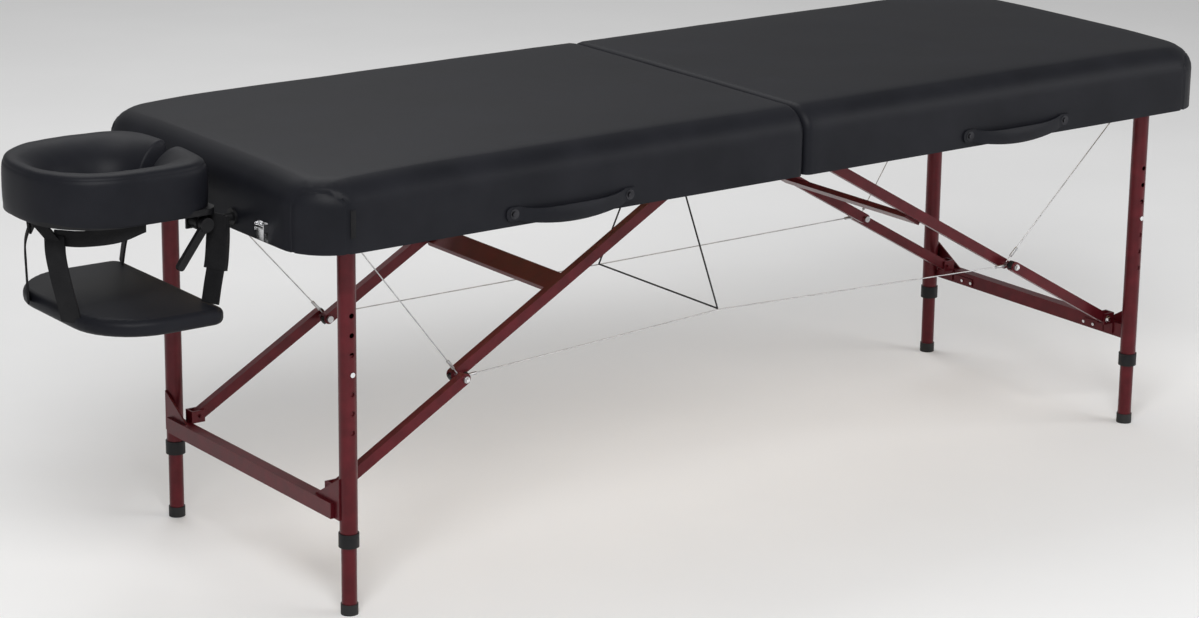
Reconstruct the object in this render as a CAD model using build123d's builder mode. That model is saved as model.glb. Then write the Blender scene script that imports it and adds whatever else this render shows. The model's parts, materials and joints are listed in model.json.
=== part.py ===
"""Portable massage table: two padded halves, hinged together, on folding and
extending aluminium legs, with a face cradle and an arm shelf at the head end.
Millimetres, +Z up.

The table is drawn with its hinge line at x = 0 and its head end towards -X.
The foot half's pieces are mirror images of the head half's.  save() moves
every piece so that the origin is on the floor under the whole object's middle.
"""
import os

from build123d import *

os.makedirs("parts", exist_ok=True)

# Table top
HALF_LENGTH = 927.0
HALF_WIDTH = 330.0
TABLE_HEIGHT = 697.0
SIDE_HEIGHT = 111.0
CORNER_RADIUS = 80.0
TOP_ROUNDING = 22.0
SEAM_GAP = 1.0
SKIRT = 5.0
RAIL = 16.0
RAIL_HEIGHT = 58.0
DECK = 5.0
UNDERSIDE = TABLE_HEIGHT - SIDE_HEIGHT
DECK_BOTTOM = UNDERSIDE + RAIL_HEIGHT
FOAM_BOTTOM = DECK_BOTTOM + DECK
COVER_GAP = 0.3

# Legs
LEG_X = -827.0
LEG_Y = 266.5
LEG_PIVOT_Z = 615.0
LEG_RADIUS = 14.0
LEG_BORE = 12.5
LEG_TOP = 629.0
LEG_BOTTOM = 119.0
EXTENSION_RADIUS = 12.0
EXTENSION_BORE = 10.5
EXTENSION_TOP = 414.0
EXTENSION_BOTTOM = 8.0
TIP_RADIUS = 13.5
TIP_TOP = 17.0
COLLAR_RADIUS = 16.0
COLLAR_TOP = 131.0
COLLAR_BOTTOM = 109.0
BUTTON_Z = 384.0
BUTTON_RADIUS = 4.0
BUTTON_PROUD = 2.0
BUTTON_LENGTH = 9.5
BUTTON_FLANGE = (5.0, 2.0)
HOLE_PITCH = 30.5
HOLES_EACH_WAY = 3
PLAY = 0.06

# Leg crossbar and what is fixed to it
CROSSBAR_X = (-850.0, -830.0)
CROSSBAR_Z = (152.5, 177.5)
CROSSBAR_HALF = 252.0
PLATE = 3.0
GUSSET_TOP = 219.0
GUSSET_INNER = 198.0
PLATE_Y = (150.0, 200.0)
PLATE_Z = (155.0, 169.0)
SIDE_CLEARANCE = 1.0

# Braces
LOWER_PIVOT = (-814.0, 186.0)
UPPER_PIVOT = (-40.0, 628.0)
LOWER_LINK_LENGTH = 266.65
LINK_HEIGHT = 18.0
LINK_WIDTH = 14.0
LINK_WALL = 1.5
LOWER_LINK_Y = 214.0
UPPER_LINK_Y = 187.0
LINK_BOLT = 3.0
LINK_BAR_FROM_TOP = 388.0
LINK_BAR = (38.0, 9.0)
LINK_BAR_DROP = 9.5
KNEE_GAP = 1.5

# Table hinge
HINGE_Z = 581.0
HINGE_Y = 215.0
KNUCKLE_RADIUS = 4.6
KNUCKLE_LENGTH = 24.0
LEAF = (30.0, 1.5)
PIN_RADIUS = 2.5

# Carrying handles, near side
HANDLE_X = (-571.0, -354.0)
HANDLE_Z = 606.0
HANDLE_BOW = 11.0
HANDLE_STRAP = (4.0, 22.0)
HANDLE_TAB = (28.0, 26.0, 4.0)
SCREW_RADIUS = 2.0
SCREW_LENGTH = 20.0

# Face cradle
SOCKET_Y = 110.0
SOCKET_Z = 606.0
SOCKET_OUTER = 9.0
SOCKET_BORE = 6.3
SOCKET_DEPTH = 60.0
SOCKET_FLANGE = (13.0, 4.0)
POST_RADIUS = 6.2
POST_INSERTED = 50.0
CRADLE_PIVOT_X = -985.0
BARREL_RADIUS = 12.0
BARREL_HALF = 12.0
CRADLE_FRONT = -1226.0
CRADLE_BACK = -962.0
CRADLE_HALF_WIDTH = 140.0
CRADLE_TOP = 703.0
CRADLE_BOTTOM = 631.0
CRADLE_FRONT_RADIUS = 110.0
CRADLE_BACK_RADIUS = 22.0
CRADLE_ROUNDING = 18.0
FACE_HOLE = (82.0, 62.0)
FACE_HOLE_X = -1085.0
FACE_GAP = 34.0
PLATFORM = 9.0
LEVER_LENGTH = 78.0

# Arm shelf
SHELF_FRONT = -1178.0
SHELF_BACK = -972.0
SHELF_HALF_WIDTH = 170.0
SHELF_TOP = 484.0
SHELF_THICKNESS = 24.0
SHELF_FRONT_RADIUS = 105.0
SHELF_BACK_RADIUS = 22.0
STRAP = (22.0, 2.0)
STRAP_GAP = 0.4
REAR_STRAP_Y = 128.5
FORK = (-1190.0, 40.0, 596.0)
FORK_FRONT = (-1205.0, 14.0)
FORK_SIDE = (-1082.0, 122.0)
FRONT_STRAP_END = (-1158.0, 70.0)
SLEEVE = (26.0, 6.0)
SLEEVE_Z = (540.0, 592.0)

# Steel cables and the lifting cord
CABLE_RADIUS = 1.0
CORD_RADIUS = 1.5
RING_RADIUS = 6.0
RING_WIDTH = 2.4
CABLE_MIDDLE = (-42.0, 168.0, 330.0)
CORD_TOP = (-42.0, 6.0, 632.0)

MODEL_SHIFT = (-CRADLE_FRONT - HALF_LENGTH) / 2
BRACE_RUN = Vector(UPPER_PIVOT[0] - LOWER_PIVOT[0], 0, UPPER_PIVOT[1] - LOWER_PIVOT[1]).normalized()
KNEE = (
    LOWER_PIVOT[0] + LOWER_LINK_LENGTH * BRACE_RUN.X,
    LOWER_PIVOT[1] + LOWER_LINK_LENGTH * BRACE_RUN.Z,
)


def save(parts, name, foot=False):
    """Write a node from one or more parts, mirrored if it is at the foot end."""
    solids = [solid for part in parts for solid in part.solids()]
    if foot:
        solids = [solid.mirror(Plane.YZ) for solid in solids]
    node = Compound(children=[solid.moved(Location((MODEL_SHIFT, 0, 0))) for solid in solids])
    node.label = name
    export_step(node, f"parts/{name}.step")


def save_pair(parts, name):
    """Write a head node and its mirror image at the foot end."""
    save(parts, f"head_{name}")
    save(parts, f"foot_{name}", foot=True)


def block(x, y, z, mode=Mode.ADD):
    """A box between two values on each axis."""
    size = [high - low for low, high in (x, y, z)]
    with Locations(tuple((low + high) / 2 for low, high in (x, y, z))):
        Box(*size, mode=mode)


def rod_y(centre, y, radius, mode=Mode.ADD):
    """A round rod along Y around an (x, z) centre."""
    with BuildSketch(Plane(origin=(centre[0], y[0], centre[1]), z_dir=(0, 1, 0))) as end:
        Circle(radius)
    extrude(end.sketch, amount=y[1] - y[0], mode=mode)


def rod(start, end, radius):
    """A round rod from point to point."""
    run = Vector(*end) - Vector(*start)
    with BuildSketch(Plane(origin=start, z_dir=run.normalized())) as end_circle:
        Circle(radius)
    extrude(end_circle.sketch, amount=run.length)


def both_sides(part):
    """A part and its mirror image across the table's long middle line."""
    return [part, part.mirror(Plane.XZ)]


# ------------------------------------------------------------- table halves
def half_plan(inset, height, bottom):
    """A slab in the shape of the head half's plan, drawn in by inset."""
    with BuildPart() as slab:
        with BuildSketch(Plane.XY.offset(bottom)) as plan:
            with Locations(((-HALF_LENGTH - SEAM_GAP) / 2, 0)):
                Rectangle(HALF_LENGTH - SEAM_GAP - 2 * inset, 2 * (HALF_WIDTH - inset))
            fillet(plan.vertices().group_by(Axis.X)[0], CORNER_RADIUS - inset)
        extrude(amount=height)
    return slab.part


def drill(sockets):
    """Cut the holes for the handle's screws and, at the head, the cradle sockets."""
    for x in HANDLE_X:
        rod_y((x, HANDLE_Z), (-HALF_WIDTH - 1, -HALF_WIDTH + SCREW_LENGTH), SCREW_RADIUS + PLAY, Mode.SUBTRACT)
    if sockets:
        with BuildSketch(Plane.YZ.offset(-HALF_LENGTH - 1)) as sockets_plan:
            with Locations((-SOCKET_Y, SOCKET_Z), (SOCKET_Y, SOCKET_Z)):
                Circle(SOCKET_OUTER + PLAY)
        extrude(sockets_plan.sketch, amount=SKIRT + RAIL + 3, mode=Mode.SUBTRACT)


def make_frame(sockets):
    """Rails and corner blocks with the plywood deck on top."""
    inset = SKIRT + COVER_GAP
    outer_y = HALF_WIDTH - inset
    corner = CORNER_RADIUS - inset
    corner_x = -HALF_LENGTH + CORNER_RADIUS
    corner_y = HALF_WIDTH - CORNER_RADIUS
    hinge_x = -SEAM_GAP - inset
    z = (UNDERSIDE, DECK_BOTTOM)
    with BuildPart() as side_rails:
        block((corner_x, hinge_x), (outer_y - RAIL, outer_y), z)
        block((corner_x, hinge_x), (-outer_y, -outer_y + RAIL), z)
        drill(False)
    with BuildPart() as end_rail:
        block((-HALF_LENGTH + inset, -HALF_LENGTH + inset + RAIL), (-corner_y, corner_y), z)
        drill(sockets)
    with BuildPart() as hinge_rail:
        block((hinge_x - RAIL, hinge_x), (-outer_y + RAIL, outer_y - RAIL), z)
    with BuildPart() as corner_block:
        with BuildSketch(Plane.XY.offset(UNDERSIDE)):
            with Locations((corner_x, corner_y)):
                Circle(corner)
                Circle(corner - RAIL, mode=Mode.SUBTRACT)
                Rectangle(corner, corner, align=(Align.MAX, Align.MIN), mode=Mode.INTERSECT)
        extrude(amount=RAIL_HEIGHT)
    deck = half_plan(inset, DECK, DECK_BOTTOM)
    return [side_rails.part, end_rail.part, hinge_rail.part, deck] + both_sides(corner_block.part)


def make_cushion():
    """The upholstered foam, with rounded top edges."""
    with BuildPart() as cushion:
        add(half_plan(0, TABLE_HEIGHT - FOAM_BOTTOM, FOAM_BOTTOM))
        fillet(cushion.faces().sort_by(Axis.Z)[-1].edges(), TOP_ROUNDING / 2)
    return cushion.part


def make_skirt(sockets):
    """The vinyl side band around the frame."""
    with BuildPart() as skirt:
        add(half_plan(0, FOAM_BOTTOM - UNDERSIDE, UNDERSIDE))
        add(half_plan(SKIRT, FOAM_BOTTOM - UNDERSIDE, UNDERSIDE), mode=Mode.SUBTRACT)
        drill(sockets)
    return skirt.part


def make_leg_bracket():
    """U bracket under the deck, with the leg's pivot bolt through its ears."""
    inside = LEG_RADIUS + SIDE_CLEARANCE
    pivot = (LEG_X, LEG_PIVOT_Z)
    with BuildPart() as bracket:
        block(
            (LEG_X - 18, LEG_X + 18),
            (LEG_Y - inside - PLATE, LEG_Y + inside + PLATE),
            (DECK_BOTTOM - PLATE, DECK_BOTTOM),
        )
        for y in (LEG_Y - inside - PLATE, LEG_Y + inside):
            block((LEG_X - 15, LEG_X + 15), (y, y + PLATE), (LEG_PIVOT_Z - 13, DECK_BOTTOM - PLATE))
        rod_y(pivot, (LEG_Y - inside - PLATE, LEG_Y + inside + PLATE), 4.0)
        rod_y(pivot, (LEG_Y + inside + PLATE, LEG_Y + inside + PLATE + 4), 7.0)
        rod_y(pivot, (LEG_Y - inside - PLATE - 10, LEG_Y - inside - PLATE), 4.0)
    return both_sides(bracket.part)


def make_brace_mount():
    """U bracket that hangs a brace's upper link under the deck."""
    inside = LINK_WIDTH / 2 + SIDE_CLEARANCE
    x = UPPER_PIVOT[0]
    with BuildPart() as mount:
        block(
            (x - 12, x + 12),
            (UPPER_LINK_Y - inside - PLATE, UPPER_LINK_Y + inside + PLATE),
            (DECK_BOTTOM - PLATE, DECK_BOTTOM),
        )
        for y in (UPPER_LINK_Y - inside - PLATE, UPPER_LINK_Y + inside):
            block((x - 10, x + 10), (y, y + PLATE), (UPPER_PIVOT[1] - 12, DECK_BOTTOM - PLATE))
        rod_y(UPPER_PIVOT, (UPPER_LINK_Y - inside - PLATE - 4, UPPER_LINK_Y + inside + PLATE + 4), LINK_BOLT)
    return both_sides(mount.part)


def make_cord_anchor():
    """Eye plate under the deck that holds the top of the lifting cord."""
    with BuildPart() as anchor:
        block((CORD_TOP[0] - 8, CORD_TOP[0] + 8), (-14, 14), (DECK_BOTTOM - PLATE, DECK_BOTTOM))
    return anchor.part


def make_hinge_leaves(own):
    """Butt hinge leaf under the rail; own lists which of three knuckles are this leaf's."""
    leaf_low = UNDERSIDE - LEAF[1]
    gap = 0.3
    with BuildPart() as leaf:
        block((-LEAF[0], -KNUCKLE_RADIUS - gap - 0.1), (HINGE_Y - 36.6, HINGE_Y + 36.6), (leaf_low, UNDERSIDE))
        for index in own:
            y = HINGE_Y + (index - 1) * (KNUCKLE_LENGTH + gap)
            span = (y - KNUCKLE_LENGTH / 2, y + KNUCKLE_LENGTH / 2)
            rod_y((0, HINGE_Z), span, KNUCKLE_RADIUS)
            block((-KNUCKLE_RADIUS - gap - 0.2, -1.2), span, (leaf_low, UNDERSIDE))
        rod_y((0, HINGE_Z), (HINGE_Y - 60, HINGE_Y + 60), PIN_RADIUS + PLAY, Mode.SUBTRACT)
    return both_sides(leaf.part)


def make_hinge_pins():
    """The two hinge pins, with a head at each end."""
    end = 1.5 * KNUCKLE_LENGTH + 0.6
    with BuildPart() as pin:
        rod_y((0, HINGE_Z), (HINGE_Y - end, HINGE_Y + end), PIN_RADIUS)
        rod_y((0, HINGE_Z), (HINGE_Y - end - 2, HINGE_Y - end), KNUCKLE_RADIUS)
        rod_y((0, HINGE_Z), (HINGE_Y + end, HINGE_Y + end + 2), KNUCKLE_RADIUS)
    return both_sides(pin.part)


def make_handle():
    """Flexible carrying strap that bows out and sags between its two tabs."""
    middle = sum(HANDLE_X) / 2
    half = (HANDLE_X[1] - HANDLE_X[0]) / 2
    face = -HALF_WIDTH
    inner = half - HANDLE_TAB[0] / 2 + 2
    wire_y = face - HANDLE_TAB[2] / 2
    with BuildPart() as strap:
        with BuildLine(Plane.XY.offset(HANDLE_Z)) as route:
            Spline(
                (middle - inner, wire_y),
                (middle - inner / 2, wire_y - 0.8 * HANDLE_BOW),
                (middle, wire_y - HANDLE_BOW),
                (middle + inner / 2, wire_y - 0.8 * HANDLE_BOW),
                (middle + inner, wire_y),
            )
        with BuildSketch(Plane(origin=route.line @ 0, z_dir=route.line % 0, x_dir=(0, 0, 1))):
            Rectangle(HANDLE_STRAP[1], HANDLE_STRAP[0])
        sweep()
        for x in HANDLE_X:
            block(
                (x - HANDLE_TAB[0] / 2, x + HANDLE_TAB[0] / 2),
                (face - HANDLE_TAB[2], face),
                (HANDLE_Z - HANDLE_TAB[1] / 2, HANDLE_Z + HANDLE_TAB[1] / 2),
            )
        block((middle - half, middle + half), (face, face + 20), (HANDLE_Z - 30, HANDLE_Z + 30), Mode.SUBTRACT)
        drill_span = (face - HANDLE_TAB[2] - 1, face + 1)
        for x in HANDLE_X:
            rod_y((x, HANDLE_Z), drill_span, SCREW_RADIUS + PLAY, Mode.SUBTRACT)
    return strap.part


def make_handle_screws():
    """A screw and washer in each handle tab."""
    outside = -HALF_WIDTH - HANDLE_TAB[2]
    with BuildPart() as screws:
        for x in HANDLE_X:
            rod_y((x, HANDLE_Z), (outside, -HALF_WIDTH + SCREW_LENGTH - 1), SCREW_RADIUS)
            rod_y((x, HANDLE_Z), (outside - 1, outside), 8.0)
            rod_y((x, HANDLE_Z), (outside - 3, outside - 1), 4.5)
    return screws.part


# ------------------------------------------------------------- legs and braces
def make_leg_tube():
    """Outer leg tube with its pivot hole and its row of height holes."""
    outward = (-LEG_Y - LEG_RADIUS - 1, -LEG_Y - LEG_BORE + 3)
    with BuildPart() as tube:
        with BuildSketch(Plane.XY.offset(LEG_BOTTOM)):
            with Locations((LEG_X, -LEG_Y)):
                Circle(LEG_RADIUS)
                Circle(LEG_BORE, mode=Mode.SUBTRACT)
        extrude(amount=LEG_TOP - LEG_BOTTOM)
        rod_y((LEG_X, LEG_PIVOT_Z), (-LEG_Y - 20, -LEG_Y + 20), 4.0 + PLAY, Mode.SUBTRACT)
        for step in range(-HOLES_EACH_WAY, HOLES_EACH_WAY + 1):
            rod_y((LEG_X, BUTTON_Z + step * HOLE_PITCH), outward, BUTTON_RADIUS + PLAY, Mode.SUBTRACT)
    return both_sides(tube.part)


def make_collar():
    """Collar at the outer tube's lower end, which guides the extension."""
    with BuildPart() as collar:
        with BuildSketch(Plane.XY.offset(COLLAR_BOTTOM)):
            with Locations((LEG_X, LEG_Y)):
                Circle(COLLAR_RADIUS)
                Circle(EXTENSION_RADIUS + 0.1, mode=Mode.SUBTRACT)
        extrude(amount=COLLAR_TOP - COLLAR_BOTTOM)
        with BuildSketch(Plane.XY.offset(LEG_BOTTOM)):
            with Locations((LEG_X, LEG_Y)):
                Circle(LEG_RADIUS + 0.03)
        extrude(amount=COLLAR_TOP - LEG_BOTTOM, mode=Mode.SUBTRACT)
    return both_sides(collar.part)


def make_extension(side):
    """Inner leg tube with the hole for its snap button."""
    y = side * LEG_Y
    with BuildPart() as tube:
        with BuildSketch(Plane.XY.offset(EXTENSION_BOTTOM)):
            with Locations((LEG_X, y)):
                Circle(EXTENSION_RADIUS)
                Circle(EXTENSION_BORE, mode=Mode.SUBTRACT)
        extrude(amount=EXTENSION_TOP - EXTENSION_BOTTOM)
        hole = sorted((y + side * (EXTENSION_RADIUS + 1), y + side * 6))
        rod_y((LEG_X, BUTTON_Z), hole, BUTTON_RADIUS + PLAY, Mode.SUBTRACT)
    return tube.part


def make_tip(side):
    """Rubber foot that covers the extension's lower end."""
    with BuildPart() as tip:
        with BuildSketch():
            with Locations((LEG_X, side * LEG_Y)):
                Circle(TIP_RADIUS)
        extrude(amount=TIP_TOP)
        with BuildSketch(Plane.XY.offset(EXTENSION_BOTTOM)):
            with Locations((LEG_X, side * LEG_Y)):
                Circle(EXTENSION_RADIUS + 0.03)
        extrude(amount=TIP_TOP - EXTENSION_BOTTOM, mode=Mode.SUBTRACT)
    return tip.part


def make_button(side):
    """Spring button that locks the extension in one of the height holes."""
    y = side * LEG_Y
    outside = y + side * (LEG_RADIUS + BUTTON_PROUD)
    inside = outside - side * BUTTON_LENGTH
    flange = sorted((inside, inside + side * BUTTON_FLANGE[1]))
    with BuildPart() as button:
        rod_y((LEG_X, BUTTON_Z), sorted((inside, outside)), BUTTON_RADIUS)
        rod_y((LEG_X, BUTTON_Z), flange, BUTTON_FLANGE[0])
    return button.part


def make_crossbar(plates):
    """Leg crossbar with its gussets, brace brackets and, at the foot, two plates."""
    front = CROSSBAR_X[1]
    outer = LEG_X - LEG_RADIUS
    inside = LINK_WIDTH / 2 + SIDE_CLEARANCE - 0.5
    with BuildPart() as bar:
        block(CROSSBAR_X, (-CROSSBAR_HALF, CROSSBAR_HALF), CROSSBAR_Z)
    with BuildPart() as gusset:
        with BuildSketch(Plane.YZ.offset(outer - PLATE)):
            Polygon(
                (LEG_Y, GUSSET_TOP),
                (GUSSET_INNER, CROSSBAR_Z[1]),
                (CROSSBAR_HALF, CROSSBAR_Z[1]),
                (CROSSBAR_HALF, CROSSBAR_Z[0]),
                (LEG_Y, CROSSBAR_Z[0]),
                align=None,
            )
        extrude(amount=PLATE)
    with BuildPart() as bracket:
        block(
            (front, front + PLATE),
            (LOWER_LINK_Y - inside - PLATE, LOWER_LINK_Y + inside + PLATE),
            (CROSSBAR_Z[0] + 4, LOWER_PIVOT[1] + 10),
        )
        for y in (LOWER_LINK_Y - inside - PLATE, LOWER_LINK_Y + inside):
            block((front + PLATE, LOWER_PIVOT[0] + 8), (y, y + PLATE), (LOWER_PIVOT[1] - 10, LOWER_PIVOT[1] + 10))
        rod_y(LOWER_PIVOT, (LOWER_LINK_Y - inside - PLATE - 4, LOWER_LINK_Y + inside + PLATE + 4), LINK_BOLT)
    pieces = [bar.part] + both_sides(gusset.part) + both_sides(bracket.part)
    if plates:
        with BuildPart() as plate:
            block((front, front + 2), PLATE_Y, PLATE_Z)
        pieces += both_sides(plate.part)
    return pieces


def make_link(start, end, y):
    """Rectangular tube with round ends and a pivot hole near each of them."""
    run = Vector(end[0] - start[0], 0, end[1] - start[1])
    low = y - LINK_WIDTH / 2
    with BuildPart() as link:
        plane = Plane(origin=(start[0], low, start[1]), x_dir=run.normalized(), z_dir=(0, 1, 0))
        with BuildSketch(plane):
            with Locations((run.length / 2, 0)):
                SlotCenterToCenter(run.length, LINK_HEIGHT)
        extrude(amount=LINK_WIDTH)
        with BuildSketch(plane.offset(LINK_WALL)):
            with Locations((run.length / 2, 0)):
                Rectangle(run.length + LINK_HEIGHT, LINK_HEIGHT - 2 * LINK_WALL)
        extrude(amount=LINK_WIDTH - 2 * LINK_WALL, mode=Mode.SUBTRACT)
        for pivot in (start, end):
            rod_y(pivot, (low - 1, low + LINK_WIDTH + 1), LINK_BOLT + PLAY, Mode.SUBTRACT)
    return both_sides(link.part)


def make_link_bar():
    """Flat bar that joins the two upper links of a pair."""
    centre = Vector(UPPER_PIVOT[0], 0, UPPER_PIVOT[1]) - BRACE_RUN * LINK_BAR_FROM_TOP
    below = BRACE_RUN.cross(Vector(0, -1, 0))
    centre += below * LINK_BAR_DROP * (-1 if below.Z > 0 else 1)
    half = UPPER_LINK_Y - LINK_WIDTH / 2
    with BuildPart() as bar:
        with BuildSketch(Plane(origin=centre - Vector(0, half, 0), x_dir=BRACE_RUN, z_dir=(0, 1, 0))):
            Rectangle(*LINK_BAR)
        extrude(amount=2 * half)
    return bar.part


def make_knee_bolt():
    """Knee bolt's head end, on the lower link."""
    outer = LOWER_LINK_Y + LINK_WIDTH / 2
    middle = (LOWER_LINK_Y + UPPER_LINK_Y) / 2
    with BuildPart() as bolt:
        rod_y(KNEE, (middle + KNEE_GAP / 2, outer), LINK_BOLT)
        rod_y(KNEE, (outer, outer + 4), 5.5)
    return both_sides(bolt.part)


def make_knee_nut():
    """Knee bolt's nut end, on the upper link."""
    inner = UPPER_LINK_Y - LINK_WIDTH / 2
    middle = (LOWER_LINK_Y + UPPER_LINK_Y) / 2
    with BuildPart() as nut:
        rod_y(KNEE, (inner, middle - KNEE_GAP / 2), LINK_BOLT)
        rod_y(KNEE, (inner - 5, inner), 5.5)
    return both_sides(nut.part)


# ------------------------------------------------------------- cables
def cable(centre, y, end):
    """A cable from a ring around a pivot to a point."""
    start = Vector(centre[0], y, centre[1])
    run = (Vector(*end) - start).normalized()
    with BuildPart() as wire:
        rod(tuple(start + run * (RING_RADIUS - 1)), end, CABLE_RADIUS)
        rod_y(centre, (y - RING_WIDTH / 2, y + RING_WIDTH / 2), RING_RADIUS)
        rod_y(centre, (y - 4, y + 4), LINK_BOLT + 0.4, Mode.SUBTRACT)
    return both_sides(wire.part)


def make_lift_cord():
    """Dark cord from under the deck down to both knee cables and across."""
    lift = 2 * CORD_RADIUS
    near = (CORD_TOP[0], -CABLE_MIDDLE[1] + lift, CABLE_MIDDLE[2] + lift)
    far = (CORD_TOP[0], CABLE_MIDDLE[1] - lift, CABLE_MIDDLE[2] + lift)
    top_near = (CORD_TOP[0], -CORD_TOP[1], CORD_TOP[2])
    top_far = CORD_TOP
    with BuildPart() as cord:
        rod(top_near, near, CORD_RADIUS)
        rod(near, far, CORD_RADIUS)
        rod(far, top_far, CORD_RADIUS)
        rod(top_far, top_near, CORD_RADIUS)
        for corner in (near, far, top_near, top_far):
            with Locations(corner):
                Sphere(CORD_RADIUS)
    return cord.part


# ------------------------------------------------------------- latches
def make_latch_base(y):
    """Plate and ears of a draw latch on the end face."""
    face = -HALF_LENGTH
    with BuildPart() as base:
        block((face - 2, face), (y - 14, y + 14), (UNDERSIDE + 2, UNDERSIDE + 32))
        for side in (-1, 1):
            ear = sorted((y + side * 12, y + side * 14))
            block((face - 9, face - 2), ear, (UNDERSIDE + 18, UNDERSIDE + 30))
        rod_y((face - 5.5, UNDERSIDE + 24), (y - 12, y + 12), 1.5)
    return base.part


def make_latch_lever(y):
    """Lever that hangs from the latch's pin and draws its hook."""
    face = -HALF_LENGTH
    with BuildPart() as lever:
        rod_y((face - 5.5, UNDERSIDE + 24), (y - 11, y + 11), 3.0)
        block((face - 7.5, face - 5.5), (y - 11, y + 11), (UNDERSIDE + 4, UNDERSIDE + 24))
        rod_y((face - 5.5, UNDERSIDE + 24), (y - 12, y + 12), 1.5 + PLAY, Mode.SUBTRACT)
    return lever.part


def make_latch_keeper(y):
    """Hook plate on the foot end that a draw latch pulls on."""
    face = -HALF_LENGTH
    with BuildPart() as keeper:
        block((face - 2, face), (y - 10, y + 10), (UNDERSIDE + 2, UNDERSIDE + 22))
        block((face - 6, face - 2), (y - 8, y + 8), (UNDERSIDE + 8, UNDERSIDE + 11))
    return keeper.part


# ------------------------------------------------------------- face cradle
def horseshoe(bottom, height, inset):
    """Horseshoe slab with the face hole and its gap towards the table."""
    width = 2 * (CRADLE_HALF_WIDTH - inset)
    length = CRADLE_BACK - CRADLE_FRONT - 2 * inset
    with BuildPart() as slab:
        with BuildSketch(Plane.XY.offset(bottom)) as plan:
            with Locations(((CRADLE_BACK + CRADLE_FRONT) / 2, 0)):
                Rectangle(length, width)
            fillet(plan.vertices().group_by(Axis.X)[0], CRADLE_FRONT_RADIUS)
            fillet(plan.vertices().group_by(Axis.X)[-1], CRADLE_BACK_RADIUS)
            with Locations((FACE_HOLE_X, 0)):
                Ellipse(FACE_HOLE[0] + inset, FACE_HOLE[1] + inset, mode=Mode.SUBTRACT)
            with Locations((FACE_HOLE_X, 0)):
                Rectangle(
                    300, FACE_GAP + 2 * inset, align=(Align.MIN, Align.CENTER), mode=Mode.SUBTRACT
                )
        extrude(amount=height)
    return slab.part


def make_cradle_cushion():
    """Horseshoe face cushion with rounded top edges."""
    with BuildPart() as cushion:
        add(horseshoe(CRADLE_BOTTOM, CRADLE_TOP - CRADLE_BOTTOM, 0))
        fillet(cushion.faces().sort_by(Axis.Z)[-1].edges(), CRADLE_ROUNDING)
    return cushion.part


def make_platform():
    """Board under the cushion with the two ears that carry the tilt bolts."""
    ear_y = SOCKET_Y - BARREL_HALF - SIDE_CLEARANCE
    pivot = (CRADLE_PIVOT_X, SOCKET_Z)
    bottom = CRADLE_BOTTOM - PLATFORM
    with BuildPart() as ear:
        block((CRADLE_PIVOT_X - 14, CRADLE_PIVOT_X + 14), (ear_y - 4, ear_y), (SOCKET_Z - 12, bottom))
        rod_y(pivot, (ear_y - 7, SOCKET_Y + BARREL_HALF + 3), 3.0)
    return [horseshoe(bottom, PLATFORM, 3)] + both_sides(ear.part)


def make_posts():
    """Two posts that slide into the sockets, each with a pivot barrel."""
    y = (SOCKET_Y - BARREL_HALF, SOCKET_Y + BARREL_HALF)
    with BuildPart() as post:
        rod_y((CRADLE_PIVOT_X, SOCKET_Z), y, BARREL_RADIUS)
        rod(
            (CRADLE_PIVOT_X, SOCKET_Y, SOCKET_Z),
            (-HALF_LENGTH + POST_INSERTED, SOCKET_Y, SOCKET_Z),
            POST_RADIUS,
        )
        rod_y((CRADLE_PIVOT_X, SOCKET_Z), y, 3.0 + PLAY, Mode.SUBTRACT)
    return both_sides(post.part)


def make_sockets():
    """Flanged sockets in the head end."""
    face = -HALF_LENGTH
    with BuildPart() as socket:
        rod((face - SOCKET_FLANGE[1], SOCKET_Y, SOCKET_Z), (face, SOCKET_Y, SOCKET_Z), SOCKET_FLANGE[0])
        rod((face, SOCKET_Y, SOCKET_Z), (face + SOCKET_DEPTH, SOCKET_Y, SOCKET_Z), SOCKET_OUTER)
        with BuildSketch(Plane.YZ.offset(face - SOCKET_FLANGE[1] - 1)):
            with Locations((SOCKET_Y, SOCKET_Z)):
                Circle(SOCKET_BORE)
        extrude(amount=SOCKET_DEPTH, mode=Mode.SUBTRACT)
    return both_sides(socket.part)


def make_cam_lever():
    """Cam lever on the near tilt bolt."""
    inner = -SOCKET_Y - BARREL_HALF - 3.5
    pivot = (CRADLE_PIVOT_X, SOCKET_Z)
    tip = Vector(-0.6, 0, -0.8) * LEVER_LENGTH
    plane = Plane(origin=(pivot[0], inner, pivot[1]), x_dir=tip.normalized(), z_dir=(0, -1, 0))
    with BuildPart() as lever:
        rod_y(pivot, (inner - 10, inner), 11.0)
        with BuildSketch(plane):
            with Locations((LEVER_LENGTH / 2, 0)):
                SlotCenterToCenter(LEVER_LENGTH - 10, 12)
        extrude(amount=8)
    return lever.part


# ------------------------------------------------------------- arm shelf
def make_shelf():
    """Padded arm shelf, broadly rounded at the front."""
    with BuildPart() as shelf:
        with BuildSketch(Plane.XY.offset(SHELF_TOP - SHELF_THICKNESS)) as plan:
            with Locations(((SHELF_FRONT + SHELF_BACK) / 2, 0)):
                Rectangle(SHELF_BACK - SHELF_FRONT, 2 * SHELF_HALF_WIDTH)
            fillet(plan.vertices().group_by(Axis.X)[0], SHELF_FRONT_RADIUS)
            fillet(plan.vertices().group_by(Axis.X)[-1], SHELF_BACK_RADIUS)
        extrude(amount=SHELF_THICKNESS)
        fillet(shelf.faces().sort_by(Axis.Z)[-1].edges(), 8)
    return shelf.part


def flat_strap(start, end):
    """A webbing strap between two points, its width along Y."""
    run = Vector(*end) - Vector(*start)
    with BuildPart() as strap:
        with BuildSketch(Plane(origin=start, x_dir=(0, 1, 0), z_dir=run.normalized())):
            Rectangle(*STRAP)
        extrude(amount=run.length)
    return strap.part


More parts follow.
